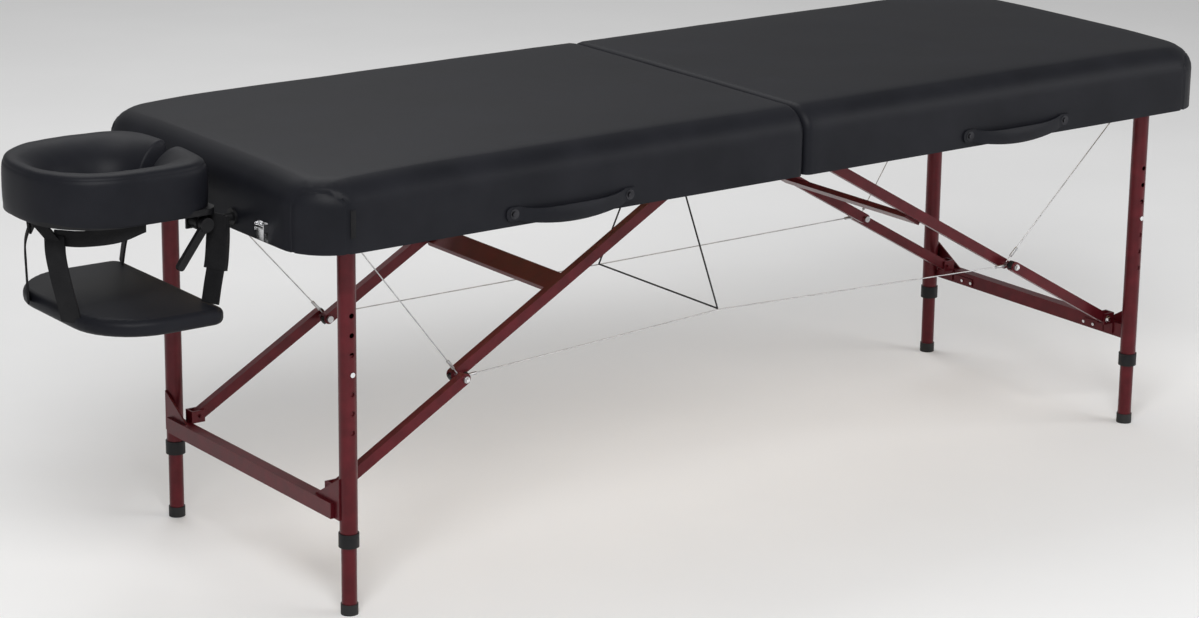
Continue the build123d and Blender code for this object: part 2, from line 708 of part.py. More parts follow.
def make_rear_straps():
    """Rear straps from the platform down to the shelf, each with its sleeve."""
    top = (CRADLE_PIVOT_X + 18.5, REAR_STRAP_Y, CRADLE_BOTTOM - PLATFORM - STRAP_GAP)
    end = (CRADLE_PIVOT_X + 3, REAR_STRAP_Y, SHELF_TOP + STRAP_GAP)
    with BuildPart() as strap:
        add(flat_strap(top, end))
        middle = (top[0] + end[0]) / 2
        block(
            (middle - SLEEVE[1] / 2, middle + SLEEVE[1] / 2),
            (REAR_STRAP_Y - SLEEVE[0] / 2, REAR_STRAP_Y + SLEEVE[0] / 2),
            SLEEVE_Z,
        )
    return both_sides(strap.part)


def make_front_straps():
    """Forked front straps from the platform to the shelf's front."""
    top = CRADLE_BOTTOM - PLATFORM
    with BuildPart() as strap:
        add(flat_strap((*FORK_FRONT, top - 7), FORK))
        add(flat_strap((*FORK_SIDE, top - 10), FORK))
        add(flat_strap(FORK, (*FRONT_STRAP_END, SHELF_TOP + 3)))
    return both_sides(strap.part)


# ------------------------------------------------------------- export
for end, foot in (("head", False), ("foot", True)):
    knuckles = (1,) if foot else (0, 2)
    save(make_frame(not foot), f"{end}_frame", foot)
    save([make_skirt(not foot)], f"{end}_skirt", foot)
    save(make_hinge_leaves(knuckles), f"{end}_hinge_leaves", foot)
    save(make_crossbar(foot), f"{end}_leg_crossbar", foot)
    for side, label in ((-1, "near"), (1, "far")):
        save([make_extension(side)], f"{end}_{label}_leg_extension", foot)
        save([make_tip(side)], f"{end}_{label}_foot_tip", foot)
        save([make_button(side)], f"{end}_{label}_snap_button", foot)

save_pair([make_cushion()], "cushion")
save_pair(make_leg_bracket(), "leg_brackets")
save(make_brace_mount() + [make_cord_anchor()], "head_brace_mounts")
save(make_brace_mount(), "foot_brace_mounts", foot=True)
save_pair([make_handle()], "handle")
save_pair([make_handle_screws()], "handle_screws")
save_pair(make_leg_tube(), "leg_tubes")
save_pair(make_collar(), "leg_collars")
save_pair(make_link(LOWER_PIVOT, KNEE, LOWER_LINK_Y), "lower_links")
save_pair(make_link(KNEE, UPPER_PIVOT, UPPER_LINK_Y) + [make_link_bar()], "upper_links")
save_pair(make_knee_bolt(), "knee_bolts")
save_pair(make_knee_nut(), "knee_nuts")
save(make_hinge_pins(), "hinge_pins")

stay_end = (LEG_X + 3, LEG_Y - LEG_RADIUS - SIDE_CLEARANCE - PLATE - 4, LEG_PIVOT_Z - 8)
save_pair(cable(KNEE, UPPER_LINK_Y + LINK_WIDTH / 2 + 2, stay_end), "stay_cables")
foot_middle = (-CABLE_MIDDLE[0] - 0.2, CABLE_MIDDLE[1], CABLE_MIDDLE[2])
save(cable(KNEE, LOWER_LINK_Y - LINK_WIDTH / 2 - 2, CABLE_MIDDLE), "head_knee_cables")
save(cable(KNEE, LOWER_LINK_Y - LINK_WIDTH / 2 - 2, foot_middle), "foot_knee_cables", foot=True)
save([make_lift_cord()], "lift_cord")

save([make_latch_base(-200), make_latch_base(200)], "latch_bases")
save([make_latch_lever(-200)], "latch_lever_near")
save([make_latch_lever(200)], "latch_lever_far")
save([make_latch_keeper(-200), make_latch_keeper(200)], "latch_keepers", foot=True)

save(make_sockets(), "cradle_sockets")
save(make_posts(), "cradle_posts")
save(make_platform(), "cradle_platform")
save([make_cradle_cushion()], "cradle_cushion")
save([make_cam_lever()], "cam_lever")
save([make_shelf()], "arm_shelf")
save(make_rear_straps(), "shelf_rear_straps")
save(make_front_straps(), "shelf_front_straps")
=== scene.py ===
import json
import math

import bmesh
import bpy
from mathutils import Matrix, Vector, noise


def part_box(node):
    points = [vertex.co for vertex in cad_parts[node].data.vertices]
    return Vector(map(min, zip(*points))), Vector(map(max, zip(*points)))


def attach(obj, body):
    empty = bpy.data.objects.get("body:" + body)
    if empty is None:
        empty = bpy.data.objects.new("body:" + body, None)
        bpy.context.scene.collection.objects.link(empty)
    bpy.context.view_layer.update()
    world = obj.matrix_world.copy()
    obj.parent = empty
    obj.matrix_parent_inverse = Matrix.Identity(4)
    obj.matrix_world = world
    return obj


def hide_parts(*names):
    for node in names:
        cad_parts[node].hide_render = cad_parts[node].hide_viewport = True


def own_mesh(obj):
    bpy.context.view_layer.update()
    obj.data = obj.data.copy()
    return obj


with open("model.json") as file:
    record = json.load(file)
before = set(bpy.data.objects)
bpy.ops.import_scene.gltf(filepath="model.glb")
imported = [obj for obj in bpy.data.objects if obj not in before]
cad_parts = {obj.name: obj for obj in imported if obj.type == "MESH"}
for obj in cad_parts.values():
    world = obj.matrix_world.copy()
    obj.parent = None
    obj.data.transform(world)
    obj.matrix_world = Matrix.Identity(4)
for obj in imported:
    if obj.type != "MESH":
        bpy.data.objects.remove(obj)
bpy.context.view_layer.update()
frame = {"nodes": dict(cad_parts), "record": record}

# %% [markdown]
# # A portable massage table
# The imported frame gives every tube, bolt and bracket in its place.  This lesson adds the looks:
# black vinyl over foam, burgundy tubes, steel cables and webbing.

nodes = frame["nodes"]
record = frame["record"]
slot_of = {part["node"]: part["material_slot"] for part in record["subparts"]}
HINGE_X = sum(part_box("hinge_pins")[i][0] for i in (0, 1)) / 2
print("hinge line at x =", round(HINGE_X, 4), "nodes:", len(nodes))

# %% [markdown]
# ## Camera
# A long lens, a little above the table and off its head corner.  The camera's axes are worked out
# from three angles, and a small shift centres the frame.

# %% Camera
VIEW_AZIMUTH = math.radians(-36.64)
VIEW_ELEVATION = math.radians(15.835)
VIEW_ROLL = math.radians(0.726)
camera_data = bpy.data.cameras.new("camera")
camera_data.lens = 98.06
camera_data.sensor_width = 36.0
camera_data.shift_x = -0.00465
camera_data.shift_y = -0.0207
camera_data.clip_end = 60.0
camera = bpy.data.objects.new("camera", camera_data)
bpy.context.scene.collection.objects.link(camera)
level = math.cos(VIEW_ELEVATION)
back = Vector(
    (math.sin(VIEW_AZIMUTH) * level, -math.cos(VIEW_AZIMUTH) * level, math.sin(VIEW_ELEVATION))
)
right = (-back).cross(Vector((0, 0, 1))).normalized()
up = right.cross(-back)
right_rolled = right * math.cos(VIEW_ROLL) + up * math.sin(VIEW_ROLL)
up_rolled = up * math.cos(VIEW_ROLL) - right * math.sin(VIEW_ROLL)
turn = Matrix((right_rolled, up_rolled, back)).transposed().to_4x4()
camera.matrix_world = Matrix.Translation((HINGE_X - 3.2954, -4.2271, 1.8457)) @ turn
bpy.context.scene.camera = camera
print("camera at", [round(v, 3) for v in camera.matrix_world.translation])

# %% [markdown]
# ## Floor and light
# A pale floor that runs far past the frame, a broad key light from the head end, a fill from the
# foot end and a third light high up behind.  Black vinyl shows its form only by what it reflects,
# so the lights are large and the studio round them is dim, or the top would mirror it as grey.

# %% Floor and light
floor_mesh = bpy.data.meshes.new("floor")
bm = bmesh.new()
bmesh.ops.create_grid(bm, x_segments=1, y_segments=1, size=30)
bm.to_mesh(floor_mesh)
bm.free()
floor = bpy.data.objects.new("floor", floor_mesh)
bpy.context.scene.collection.objects.link(floor)


def area_light(name, place, target, size, power):
    """A square soft light that faces a point."""
    data = bpy.data.lights.new(name, "AREA")
    data.shape = "SQUARE"
    data.size = size
    data.energy = power
    light = bpy.data.objects.new(name, data)
    light.location = place
    light.rotation_euler = (Vector(target) - Vector(place)).to_track_quat("-Z", "Y").to_euler()
    bpy.context.scene.collection.objects.link(light)


area_light("key_light", (-2.6, -3.2, 4.0), (0, 0, 0.5), 2.6, 190)
area_light("fill_light", (3.6, -3.4, 2.2), (0, 0, 0.5), 3.0, 85)
area_light("back_light", (0.5, 3.0, 4.6), (0, 0, 0.7), 3.2, 80)
world = bpy.data.worlds.new("studio")
world.use_nodes = True
world.node_tree.nodes["Background"].inputs["Color"].default_value = (1, 1, 1, 1)
world.node_tree.nodes["Background"].inputs["Strength"].default_value = 0.30
bpy.context.scene.world = world
bpy.context.scene.view_settings.view_transform = "Standard"
print("three lights and a dim studio")

# %% [markdown]
# ## A shared grain
# Vinyl, paint and webbing all have a fine pattern and a slow unevenness.  One node group makes
# both from Object coordinates: Grain for bump, and Patches for colour and roughness.

# %% Node group: grain
def make_grain_group():
    group = bpy.data.node_groups.new("grain_and_patches", "ShaderNodeTree")
    face = group.interface
    face.new_socket("Grain Scale", in_out="INPUT", socket_type="NodeSocketFloat")
    face.new_socket("Patch Scale", in_out="INPUT", socket_type="NodeSocketFloat")
    face.new_socket("Grain", in_out="OUTPUT", socket_type="NodeSocketFloat")
    face.new_socket("Patches", in_out="OUTPUT", socket_type="NodeSocketFloat")
    entry = group.nodes.new("NodeGroupInput")
    out = group.nodes.new("NodeGroupOutput")
    place = group.nodes.new("ShaderNodeTexCoord")
    cells = group.nodes.new("ShaderNodeTexVoronoi")
    cells.feature = "SMOOTH_F1"
    patches = group.nodes.new("ShaderNodeTexNoise")
    patches.inputs["Detail"].default_value = 4.0
    link = group.links.new
    link(place.outputs["Object"], cells.inputs["Vector"])
    link(place.outputs["Object"], patches.inputs["Vector"])
    link(entry.outputs["Grain Scale"], cells.inputs["Scale"])
    link(entry.outputs["Patch Scale"], patches.inputs["Scale"])
    link(cells.outputs["Distance"], out.inputs["Grain"])
    link(patches.outputs["Fac"], out.inputs["Patches"])
    return group


grain_group = make_grain_group()
print("group outputs:", [s.name for s in grain_group.interface.items_tree if s.in_out == "OUTPUT"])

# %% [markdown]
# ## One way to make every finish
# Real surfaces are never one flat colour.  Each finish drifts between two colours and between two
# roughnesses with the patches, and the grain becomes a fine bump.  What is the same all over, such
# as the metallic value, sits on the shader itself.

# %% Finish helper
def make_finish(
    name, dark, light, rough, metallic, grain_scale, bump, patch_scale=9.0, coat=0.0, specular=0.5
):
    """A finish whose colour and roughness drift between two values, with a fine bumped grain."""
    material = bpy.data.materials.new(name)
    material.use_nodes = True
    tree = material.node_tree
    shader = tree.nodes["Principled BSDF"]
    grain = tree.nodes.new("ShaderNodeGroup")
    grain.node_tree = grain_group
    grain.inputs["Grain Scale"].default_value = grain_scale
    grain.inputs["Patch Scale"].default_value = patch_scale
    ramp = tree.nodes.new("ShaderNodeValToRGB")
    ramp.color_ramp.elements[0].position = 0.35
    ramp.color_ramp.elements[0].color = (*dark, 1)
    ramp.color_ramp.elements[1].position = 0.68
    ramp.color_ramp.elements[1].color = (*light, 1)
    spread = tree.nodes.new("ShaderNodeMapRange")
    spread.inputs["To Min"].default_value = rough[0]
    spread.inputs["To Max"].default_value = rough[1]
    relief = tree.nodes.new("ShaderNodeBump")
    relief.inputs["Strength"].default_value = bump
    relief.inputs["Distance"].default_value = 0.0004
    link = tree.links.new
    link(grain.outputs["Patches"], ramp.inputs["Fac"])
    link(grain.outputs["Patches"], spread.inputs["Value"])
    link(grain.outputs["Grain"], relief.inputs["Height"])
    link(ramp.outputs["Color"], shader.inputs["Base Color"])
    link(spread.outputs["Result"], shader.inputs["Roughness"])
    link(relief.outputs["Normal"], shader.inputs["Normal"])
    shader.inputs["Metallic"].default_value = metallic
    shader.inputs["Coat Weight"].default_value = coat
    shader.inputs["Specular IOR Level"].default_value = specular
    return material


# %% [markdown]
# ## Finishes
# The vinyl is a satin black with a leather-like grain of about a millimetre.  The tubes have a deep
# burgundy metallic coat.  Small parts are zinc-plated or polished steel.

# %% Finishes
finishes = {
    "vinyl": make_finish(
        "black_vinyl", (0.0075, 0.0080, 0.0110), (0.0120, 0.0125, 0.0165), (0.42, 0.54), 0, 950, 0.3,
        specular=0.14,
    ),
    "wood": make_finish("birch_ply", (0.45, 0.32, 0.18), (0.62, 0.47, 0.29), (0.5, 0.7), 0, 300, 0.2, 30),
    "burgundy_paint": make_finish(
        "burgundy_metallic", (0.075, 0.0050, 0.0085), (0.105, 0.0075, 0.0125), (0.28, 0.4), 0.35,
        2200, 0.12, 40, 0.1, 0.3,
    ),
    "steel": make_finish(
        "zinc_steel", (0.42, 0.42, 0.43), (0.62, 0.62, 0.63), (0.28, 0.45), 1, 1500, 0.15, 60
    ),
    "chrome": make_finish(
        "bright_chrome", (0.72, 0.72, 0.73), (0.82, 0.82, 0.83), (0.08, 0.18), 1, 900, 0.05, 50
    ),
    "black_plastic": make_finish(
        "black_nylon", (0.004, 0.004, 0.005), (0.008, 0.008, 0.009), (0.42, 0.58), 0, 1800, 0.3, 30,
        specular=0.3
    ),
    "dark_screw": make_finish(
        "blackened_steel", (0.030, 0.030, 0.034), (0.060, 0.060, 0.066), (0.30, 0.42), 1, 1200, 0.1, 50
    ),
    "rubber": make_finish(
        "black_rubber", (0.008, 0.008, 0.008), (0.014, 0.014, 0.014), (0.6, 0.8), 0, 1400, 0.4, 30
    ),
    "webbing": make_finish(
        "nylon_webbing", (0.004, 0.004, 0.005), (0.009, 0.009, 0.010), (0.65, 0.85), 0, 700, 0.9, 40,
        specular=0.25
    ),
    "cord": make_finish(
        "dark_cord", (0.012, 0.012, 0.014), (0.03, 0.03, 0.034), (0.6, 0.8), 0, 1500, 0.8, 80
    ),
}
floor_mesh.materials.append(
    make_finish("pale_floor", (0.90, 0.90, 0.90), (0.92, 0.92, 0.92), (0.7, 0.8), 0, 200, 0.05, 2)
)
for name, node in nodes.items():
    node.data.materials.clear()
    node.data.materials.append(finishes["dark_screw" if name.endswith("handle_screws") else slot_of[name]])
print(len(finishes), "finishes on", len(nodes), "nodes")

# %% [markdown]
# ## Helpers for new pieces
# Every new piece is a mesh whose place is in its vertices, on an object at the origin.  Edges that
# turn sharply are marked, so that smooth shading keeps them crisp.

# %% Helpers for new pieces
def finish_piece(bm, name, slot, body, replaced=(), sharp_degrees=38, levels=0):
    """Turn a bmesh into a shaded piece that rides on a body."""
    bmesh.ops.remove_doubles(bm, verts=bm.verts, dist=1e-6)
    bmesh.ops.recalc_face_normals(bm, faces=bm.faces)
    for face in bm.faces:
        face.smooth = True
    for edge in bm.edges:
        if len(edge.link_faces) == 2 and edge.calc_face_angle(0) > math.radians(sharp_degrees):
            edge.smooth = False
    mesh = bpy.data.meshes.new(name)
    bm.to_mesh(mesh)
    bm.free()
    mesh.materials.append(finishes[slot])
    piece = bpy.data.objects.new(name, mesh)
    bpy.context.scene.collection.objects.link(piece)
    if levels:
        smooth = piece.modifiers.new("smooth", "SUBSURF")
        smooth.levels = levels
        smooth.render_levels = levels
    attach(piece, body)
    if replaced:
        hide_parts(*replaced)
    print(f"{name}: {len(mesh.polygons)} faces on {body}")
    return piece


def box_mesh(low, high):
    """A bmesh box between two corners."""
    bm = bmesh.new()
    middle = (Vector(low) + Vector(high)) / 2
    size = Vector(high) - Vector(low)
    bmesh.ops.create_cube(bm, size=1, matrix=Matrix.Translation(middle) @ Matrix.Diagonal((*size, 1)))
    return bm


def round_edges(bm, test, offset, segments):
    """Bevel the edges whose two ends pass a test."""
    edges = [e for e in bm.edges if test(*(v.co for v in e.verts))]
    bmesh.ops.bevel(
        bm, geom=edges, offset=offset, offset_type="OFFSET", segments=segments, profile=0.5,
        affect="EDGES", material=-1,
    )


def slice_across(bm, axis, places):
    """Cut a mesh along planes square to an axis, so that it can bend there."""
    normal = Vector((0, 0, 0))
    normal[axis] = 1
    for place in places:
        geom = bm.verts[:] + bm.edges[:] + bm.faces[:]
        bmesh.ops.bisect_plane(bm, geom=geom, plane_co=normal * place, plane_no=normal, dist=1e-6)


def even_steps(low, high, step):
    """Places between two values, about a step apart."""
    count = max(2, round((high - low) / step))
    return [low + (high - low) * i / count for i in range(1, count)]


# %% [markdown]
# ## The upholstered halves
# Each half is foam on a wooden frame, pulled tight under black vinyl.  The outer corners are broad,
# the top edges roll over softly, and the edges at the centre seam are tighter, which leaves a
# V-shaped groove.  A box is bevelled in that order, hollowed from below for the frame, and cut into
# a grid so that the top can be crowned.  A sewn patch covers each outer corner.  Its seam is a
# groove where an upright plane crosses the corner.

# %% Upholstery
CORNER_RADIUS = 0.080
TOP_ROLL = 0.042
SEAM_ROLL = 0.013
SKIN = 0.005
CROWN = 0.0035
CORNER_DROOP = 0.006
DROOP_REACH = 0.11
PATCH_END_Y = 0.269
PATCH_SIDE = 0.067
SEAM_HALF = 0.0035
SEAM_DEPTH = 0.0016
EPS = 1e-5


def make_upholstery(end, outward):
    """Vinyl-covered foam of one half; outward is -1 at the head end and +1 at the foot end."""
    low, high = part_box(f"{end}_skirt")[0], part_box(f"{end}_cushion")[1]
    end_x = low[0] if outward < 0 else high[0]
    seam_x = high[0] if outward < 0 else low[0]
    half_y = high[1]
    bm = box_mesh(low, high)
    round_edges(
        bm, lambda a, b: abs(a.z - b.z) > 0.01 and min(abs(a.x - end_x), abs(b.x - end_x)) < EPS,
        CORNER_RADIUS, 12,
    )

    def on_seam(point):
        return abs(point.x - seam_x) < EPS

    round_edges(
        bm, lambda a, b: min(a.z, b.z) > high[2] - EPS and not (on_seam(a) and on_seam(b)), TOP_ROLL, 7
    )
    round_edges(bm, lambda a, b: on_seam(a) and on_seam(b) and max(a.z, b.z) > low[2] + EPS, SEAM_ROLL, 4)
    under = max((f for f in bm.faces if f.normal.z < -0.9), key=lambda f: f.calc_area())
    bmesh.ops.inset_region(bm, faces=[under], thickness=SKIN)
    hollow = bmesh.ops.extrude_discrete_faces(bm, faces=[under])["faces"]
    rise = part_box(f"{end}_frame")[1][2] - low[2]
    bmesh.ops.translate(bm, verts=list({v for f in hollow for v in f.verts}), vec=(0, 0, rise))
    slice_across(bm, 0, even_steps(low[0], high[0], 0.03))
    slice_across(bm, 1, even_steps(low[1], high[1], 0.03))
    slice_across(bm, 2, even_steps(low[2], high[2] - TOP_ROLL, 0.02))
    sew_patches(bm, end_x, outward, half_y)
    for vert in bm.verts:
        shape_vinyl(vert, low, high, seam_x)
    piece = finish_piece(
        bm, f"{end}_upholstery", "vinyl", f"{end}_half", (f"{end}_cushion", f"{end}_skirt"), 50
    )


def sew_patches(bm, end_x, outward, half_y):
    """Groove the seam of both corner patches, where an upright plane crosses each corner."""
    for side in (-1, 1):
        on_end = Vector((end_x, side * PATCH_END_Y, 0))
        on_side = Vector((end_x - outward * PATCH_SIDE, side * half_y, 0))
        normal = (on_side - on_end).cross(Vector((0, 0, 1))).normalized()
        if normal.x * outward < 0:
            normal = -normal
        for shift in (-SEAM_HALF, 0, SEAM_HALF):
            near = [f for f in bm.faces if f.calc_center_median().y * side > 0.15]
            geom = near + list({e for f in near for e in f.edges}) + list({v for f in near for v in f.verts})
            bmesh.ops.bisect_plane(
                bm, geom=geom, plane_co=on_end + normal * shift, plane_no=normal, dist=1e-6
            )
        bm.normal_update()
        for vert in bm.verts:
            if vert.co.y * side > 0.15 and abs((vert.co - on_end).dot(normal)) < EPS * 5:
                vert.co -= vert.normal * SEAM_DEPTH


def shape_vinyl(vert, low, high, seam_x):
    """Crown the top, fill out the sides and add the slow unevenness of stretched vinyl."""
    across = min(1.0, abs(vert.co.y) / high[1])
    along = (vert.co.x - low[0]) / (high[0] - low[0])
    if vert.co.z > high[2] - 0.004:
        swell = (1 - across**4) * math.sin(math.pi * min(1, max(0, along))) ** 0.35
        vert.co.z += CROWN * swell
    end_x = low[0] if abs(seam_x - high[0]) < abs(seam_x - low[0]) else high[0]
    corner = math.hypot(vert.co.x - end_x, abs(vert.co.y) - high[1])
    fade = min(1.0, max(0.0, (vert.co.z - low[2]) / (high[2] - low[2]) - 0.4) / 0.6)
    vert.co.z -= CORNER_DROOP * fade * math.exp(-((corner / DROOP_REACH) ** 2))
    outside = vert.co.z > low[2] + 0.02 and across > 0.98
    if outside:
        vert.co.y += math.copysign(0.0012, vert.co.y)
    wave = noise.noise(vert.co * 9) * 0.0007 + noise.noise(vert.co * 28) * 0.00025
    if vert.co.z > low[2] + 0.066:
        vert.co += vert.normal * wave


for end, outward in (("head", -1), ("foot", 1)):
    make_upholstery(end, outward)

# %% [markdown]
# ## Face cradle cushion
# The horseshoe is thick foam in vinyl, with a seam where the top panel meets the side panel.  One
# section is spun almost all the way round, and each of its points is then moved out to the oval
# outlines.  A subdivision surface rounds the result.

# %% Face cradle cushion
CRADLE_GAP_DEGREES = 18
CRADLE_STEPS = 80
CUSHION_SKIRT = 0.009
HOLE_HALF = (0.078, 0.060)
PROFILE_TALL = 0.0715


def outline_reach(angle, half_x, half_y, power):
    """Distance from the middle of an oval with full corners to its edge."""
    c, s = abs(math.cos(angle)), abs(math.sin(angle))
    return ((c / half_x) ** power + (s / half_y) ** power) ** (-1 / power)


def make_cradle_cushion():
    """Horseshoe of foam, dished inside, squarer towards the table, lipped over its board."""
    low, high = (Vector(v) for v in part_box("cradle_cushion"))
    middle = (low + high) / 2
    half = (high - low) / 2
    tall = high.z - low.z
    profile = [
        (0.06, 0.0), (0.94, 0.0), (0.95, -CUSHION_SKIRT), (1.0, -CUSHION_SKIRT), (1.025, 0.004),
        (1.030, 0.028), (1.022, 0.052), (1.005, 0.0600), (0.975, 0.0622), (0.978, 0.0648), (0.93, 0.0692),
        (0.80, 0.0715), (0.60, 0.0690), (0.34, 0.058), (0.14, 0.043), (0.03, 0.024), (0.0, 0.008),
    ]
    bm = bmesh.new()
    section = bm.faces.new([bm.verts.new((1 + t, 0, z)) for t, z in profile])
    start = math.radians(CRADLE_GAP_DEGREES / 2)
    bmesh.ops.rotate(bm, verts=bm.verts, matrix=Matrix.Rotation(start, 3, "Z"), cent=(0, 0, 0))
    bmesh.ops.spin(
        bm, geom=[section] + section.edges[:] + section.verts[:], cent=(0, 0, 0), axis=(0, 0, 1),
        steps=CRADLE_STEPS, angle=2 * math.pi - 2 * start, use_merge=False, use_duplicate=False,
    )
    for vert in bm.verts:
        angle = math.atan2(vert.co.y, vert.co.x)
        t = math.hypot(vert.co.x, vert.co.y) - 1
        inner_reach = outline_reach(angle, *HOLE_HALF, 2.0)
        squareness = 2.3 + 3.2 * max(0.0, math.cos(angle)) ** 0.5
        outer_reach = outline_reach(angle, half.x, half.y, squareness)
        reach = inner_reach + t * (outer_reach - inner_reach)
        wave = noise.noise(Vector((math.cos(angle), math.sin(angle), t)) * 5) * 0.001
        vert.co = Vector(
            (
                middle.x + reach * math.cos(angle),
                reach * math.sin(angle),
                low.z + vert.co.z * tall / PROFILE_TALL + wave,
            )
        )
    piece = finish_piece(bm, "cradle_upholstery", "vinyl", "cradle", ("cradle_cushion",), 180, 2)


make_cradle_cushion()

# %% [markdown]
# ## Arm shelf
# A thin padded board in the same vinyl.  The board is bevelled in plan and then along its edges,
# and cut into a grid so that its top can swell a little.

# %% Arm shelf
def make_arm_shelf():
    low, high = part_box("arm_shelf")
    bm = box_mesh(low, high)
    for edge_x, radius in ((low[0], 0.105), (high[0], 0.022)):
        round_edges(
            bm, lambda a, b: abs(a.z - b.z) > 0.01 and max(abs(a.x - edge_x), abs(b.x - edge_x)) < EPS,
            radius, 10,
        )
    for level_z in (high[2], low[2]):
        round_edges(bm, lambda a, b: max(abs(a.z - level_z), abs(b.z - level_z)) < EPS, 0.009, 4)
    slice_across(bm, 0, even_steps(low[0], high[0], 0.012))
    slice_across(bm, 1, even_steps(low[1], high[1], 0.012))
    for vert in bm.verts:
        if vert.co.z > high[2] - 0.0005:
            across = abs(vert.co.y) / high[1]
            along = (vert.co.x - low[0]) / (high[0] - low[0])
            vert.co.z += 0.004 * (1 - across**4) * math.sin(math.pi * along) ** 0.5
    piece = finish_piece(bm, "arm_shelf_pad", "vinyl", "arm_shelf", ("arm_shelf",), 60)


make_arm_shelf()

# %% [markdown]
# ## Straps
# Webbing and handle straps are strips.  A short edge is extruded from point to point and given its
# thickness.

# %% Strap helper
STRAP_STEPS = 7


def eased(points):
    """The same route with a few extra points on each bend, so that a strap curves."""
    route = [Vector(p) for p in points]
    padded = [route[0] * 2 - route[1]] + route + [route[-1] * 2 - route[-2]]
    out = []
    for a, b, c, d in zip(padded, padded[1:], padded[2:], padded[3:]):
        for step in range(STRAP_STEPS):
            t = step / STRAP_STEPS
            square = (2 * a - 5 * b + 4 * c - d) * t**2
            cube = (3 * b - a - 3 * c + d) * t**3
            out.append(0.5 * (2 * b + (c - a) * t + square + cube))
    return out + [route[-1]]


def make_strip(name, points, width_axis, width, thick, slot, body, replaced=()):
    """A strap along points: an edge along width_axis, extruded from each point to the next."""
    bm = bmesh.new()
    route = eased(points)
    across = Vector(width_axis).normalized() * width / 2
    ends = [bm.verts.new(route[0] + across * s) for s in (-1, 1)]
    edge = bm.edges.new(ends)
    for last, here in zip(route, route[1:]):
        grown = bmesh.ops.extrude_edge_only(bm, edges=[edge])["geom"]
        edge = next(g for g in grown if isinstance(g, bmesh.types.BMEdge))
        bmesh.ops.translate(bm, verts=edge.verts[:], vec=here - last)
    bmesh.ops.recalc_face_normals(bm, faces=bm.faces)
    bmesh.ops.solidify(bm, geom=bm.faces[:], thickness=thick)
    return finish_piece(bm, name, slot, body, replaced, 40)


# %% [markdown]
# ## Carrying handles
# Each handle is a padded strap between two screwed tabs on the near side.  A thin box with round
# ends is sliced, bowed outwards, let sag and filled out in the middle.

# %% Carrying handles
def make_handle(end):
    """Padded strap that bows out and sags between its two screwed tabs."""
    low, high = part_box(f"{end}_handle")
    face_y = high[1]
    middle_x = (low[0] + high[0]) / 2
    reach = (high[0] - low[0]) / 2
    strap_z = (low[2] + high[2]) / 2
    bm = box_mesh((low[0], face_y - 0.0045, strap_z - 0.011), (high[0], face_y - 0.0005, strap_z + 0.011))
    round_edges(bm, lambda a, b: abs(a.y - b.y) > 0.001, 0.009, 5)
    slice_across(bm, 0, even_steps(low[0], high[0], 0.006))
    slice_across(bm, 2, even_steps(strap_z - 0.011, strap_z + 0.011, 0.0055))
    for vert in bm.verts:
        along = (vert.co.x - middle_x) / reach
        inside = max(0.0, 1 - (along / 0.80) ** 2)
        rise = inside**0.7
        vert.co.y -= rise * 0.0095
        vert.co.z -= rise * 0.010
        vert.co.z = strap_z - rise * 0.010 + (vert.co.z - strap_z + rise * 0.010) * (1 + 0.22 * inside**3)
        edge_drop = ((vert.co.z - strap_z + rise * 0.010) / 0.011) ** 4
        if vert.co.y < face_y - 0.003 - rise * 0.0095:
            vert.co.y -= 0.0018 * inside * (1 - edge_drop)
    finish_piece(bm, f"{end}_handle_strap", "vinyl", f"{end}_half", (f"{end}_handle",), 60)


for end in ("head", "foot"):
    make_handle(end)

# %% [markdown]
# ## Shelf straps
# Four straps hang the shelf from the cradle: the rear pair come out of wide sleeves, and the front
# pair fork near the top.  They crumple when the shelf is raised.

# %% Shelf straps
STRAP_THICK = 0.0030
REAR_STRAP_WIDTH = 0.032
FRONT_STRAP_WIDTH = 0.036


def strap_points(side, points):
    """Points given from the hinge line, on the near side, moved into the frame."""
    return [(HINGE_X + x, side * y, z) for x, y, z in points]


REAR_ROUTE = (
    (-0.968, 0.130, 0.621), (-0.969, 0.133, 0.590), (-0.974, 0.137, 0.548), (-0.981, 0.138, 0.515),
    (-0.986, 0.138, 0.487),
)
FRONT_ROUTE = (
    (-1.188, 0.040, 0.600), (-1.192, 0.050, 0.570), (-1.188, 0.058, 0.530), (-1.183, 0.066, 0.495),
    (-1.180, 0.070, 0.472),
)
SIDE_FORK_ROUTE = (
    (-1.082, 0.126, 0.620), (-1.120, 0.112, 0.606), (-1.160, 0.078, 0.598), (-1.188, 0.040, 0.596)
)
FRONT_FORK_ROUTE = ((-1.206, 0.012, 0.621), (-1.200, 0.024, 0.610), (-1.189, 0.042, 0.590))
SLEEVE_ROUTE = (
    (-0.968, 0.130, 0.619), (-0.969, 0.133, 0.590), (-0.974, 0.137, 0.556), (-0.977, 0.1375, 0.538)
)
SLEEVE_WIDTH = 0.040
SLEEVE_THICK = 0.0070
REAR_TANGENT = (0.35, 0.94)
strap_pieces = []
